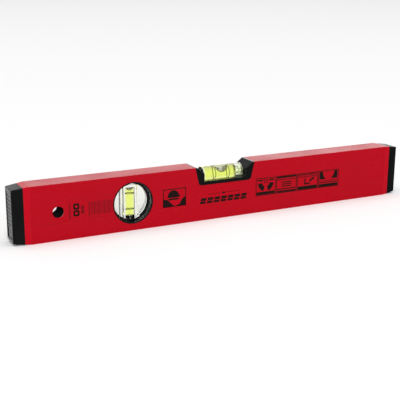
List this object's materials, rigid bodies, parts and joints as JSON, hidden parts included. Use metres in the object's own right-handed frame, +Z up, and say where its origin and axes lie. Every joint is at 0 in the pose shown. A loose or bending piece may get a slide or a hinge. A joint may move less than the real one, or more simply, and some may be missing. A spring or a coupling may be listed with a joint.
{
  "type": "spirit level",
  "caption": "Box-section spirit level: painted profile with moulded end caps, a level vial cradled in a top notch and a plumb vial in a round window.",
  "frame": {"origin": "middle of the bottom measuring face", "axes": "+X along the length, away from the hanging hole; +Y through the thickness, from the printed front face to the back face; +Z up, from the bottom measuring face to the top one"},
  "size_m": [0.4, 0.021, 0.05],
  "materials": {
    "red_paint": "gloss red paint on extruded aluminium",
    "red_plastic": "satin moulded plastic",
    "black_plastic": "fine-grained moulded plastic",
    "clear_acrylic": "polished clear acrylic",
    "vial_liquid": "clear dyed liquid",
    "bubble_air": "air bubble",
    "ring_mark": "dark reading ring"
  },
  "bodies": {
    "level": {"profile": "red_paint", "left_end_collar": "red_plastic", "right_end_collar": "red_plastic", "left_end_cap": "black_plastic", "right_end_cap": "black_plastic", "level_vial_cradle": "black_plastic", "level_vial_body": "clear_acrylic", "level_vial_plug": "clear_acrylic", "level_vial_liquid": "vial_liquid", "level_vial_ring_left": "ring_mark", "level_vial_ring_right": "ring_mark", "plumb_front_bezel": "black_plastic", "plumb_back_bezel": "black_plastic", "plumb_vial_body": "clear_acrylic", "plumb_vial_plug": "black_plastic", "plumb_vial_liquid": "vial_liquid", "plumb_vial_ring_upper": "ring_mark", "plumb_vial_ring_lower": "ring_mark"},
    "level_bubble": {"level_vial_bubble": "bubble_air"},
    "plumb_bubble": {"plumb_vial_bubble": "bubble_air"}
  },
  "joints": [
    {"name": "level_bubble_slide", "type": "slide", "parent": "level", "child": "level_bubble", "axis": [1, 0, 0], "range_m": [-0.0103, 0.0078], "stiffness_N_per_m": 0.05, "deforming": ["level_vial_liquid"]},
    {"name": "plumb_bubble_slide", "type": "slide", "parent": "level", "child": "plumb_bubble", "axis": [0, 0, 1], "range_m": [-0.0217, 0], "stiffness_N_per_m": 0.2, "springref_m": 0.01, "deforming": ["plumb_vial_liquid"]}
  ]
}
